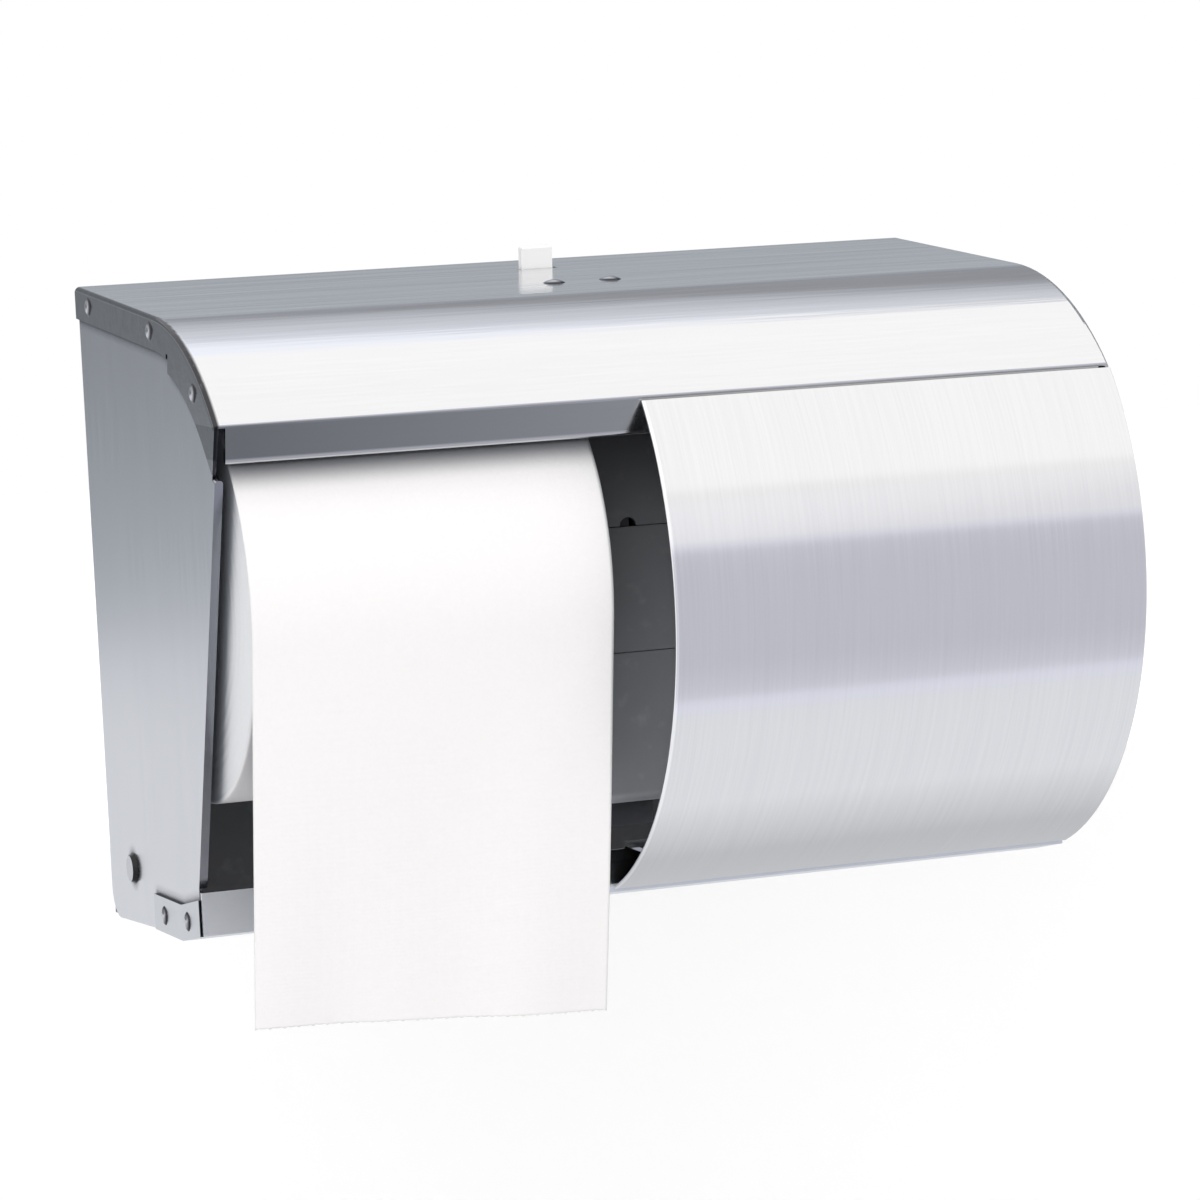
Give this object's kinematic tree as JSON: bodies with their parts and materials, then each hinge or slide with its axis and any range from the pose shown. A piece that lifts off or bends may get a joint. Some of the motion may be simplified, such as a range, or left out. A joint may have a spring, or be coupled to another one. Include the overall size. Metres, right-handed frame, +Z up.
{
  "type": "double roll toilet tissue dispenser",
  "caption": "Wall-mounted stainless tissue dispenser: side-by-side coreless rolls under a folded hood, with a curved sliding door, a drop-down housing and a keyed latch.",
  "frame": {"origin": "centre of the four wall screws, on the wall's surface", "axes": "+X along the wall to the right as seen from the room, +Y into the wall, +Z up"},
  "size_m": [0.2586, 0.1609, 0.2067],
  "materials": {
    "brushed_stainless": "vertical brushed grain, satin",
    "rivet_steel": "tumbled, satin",
    "lock_steel": "zinc plated, dull",
    "spring_steel": "drawn wire and strip",
    "zinc_screw": "zinc plated",
    "charcoal_plastic": "fine moulded texture",
    "plunger_plastic": "smooth moulded",
    "key_plastic": "smooth moulded, slightly translucent",
    "tissue": "soft embossed paper"
  },
  "bodies": {
    "wall_base": {"back_plate": "charcoal_plastic", "left_arm": "charcoal_plastic", "right_arm": "charcoal_plastic", "arm_screws": "zinc_screw", "centre_post": "charcoal_plastic", "post_screws": "zinc_screw", "plunger_cover": "charcoal_plastic", "left_plunger_spring": "spring_steel", "right_plunger_spring": "spring_steel", "latch_strike": "lock_steel", "strike_screws": "zinc_screw", "paper_tail": "tissue"},
    "housing": {"hood": "brushed_stainless", "left_side_panel": "brushed_stainless", "right_side_panel": "brushed_stainless", "bottom_rail": "brushed_stainless", "hood_rivets": "rivet_steel", "rail_rivets": "rivet_steel", "lock_rivets": "rivet_steel", "hinge_pins": "rivet_steel", "latch_bracket": "lock_steel", "latch_pin": "lock_steel", "latch_spring": "spring_steel"},
    "door": {"door_panel": "brushed_stainless", "upper_guides": "brushed_stainless", "lower_guides": "brushed_stainless"},
    "latch": {"latch_lever": "lock_steel"},
    "key": {"lock_key": "key_plastic"},
    "left_roll": {"left_roll": "tissue"},
    "right_roll": {"right_roll": "tissue"},
    "left_plunger": {"left_plunger": "plunger_plastic"},
    "right_plunger": {"right_plunger": "plunger_plastic"}
  },
  "joints": [
    {"name": "housing_hinge", "type": "hinge", "parent": "wall_base", "child": "housing", "pos_m": [0, -0.029, -0.0725], "axis": [1, 0, 0], "range_deg": [0, 100]},
    {"name": "door_slide", "type": "slide", "parent": "housing", "child": "door", "axis": [-1, 0, 0], "range_m": [0, 0.1178], "deforming": ["paper_tail"]},
    {"name": "latch_swing", "type": "hinge", "parent": "housing", "child": "latch", "pos_m": [0, -0.04944, 0.08104], "axis": [1, 0, 0], "range_deg": [0, 5.5]},
    {"name": "key_lift", "type": "slide", "parent": "housing", "child": "key", "axis": [0, -0.0715, 0.9974], "range_m": [0, 0.0024]},
    {"name": "left_roll_spin", "type": "hinge", "parent": "wall_base", "child": "left_roll", "pos_m": [0, -0.0899, 0.0101], "axis": [1, 0, 0], "continuous": true},
    {"name": "right_roll_spin", "type": "hinge", "parent": "wall_base", "child": "right_roll", "pos_m": [0, -0.0899, 0.0101], "axis": [1, 0, 0], "continuous": true},
    {"name": "left_plunger_press", "type": "slide", "parent": "wall_base", "child": "left_plunger", "axis": [1, 0, 0], "range_m": [0, 0.0105], "stiffness_N_per_m": 300, "springref_m": -0.01, "deforming": ["left_plunger_spring"]},
    {"name": "right_plunger_press", "type": "slide", "parent": "wall_base", "child": "right_plunger", "axis": [-1, 0, 0], "range_m": [0, 0.0105], "stiffness_N_per_m": 300, "springref_m": -0.01, "deforming": ["right_plunger_spring"]}
  ],
  "couplings": [
    {"joint": "key_lift", "follows": "latch_swing", "m_per_rad": 0.024}
  ]
}
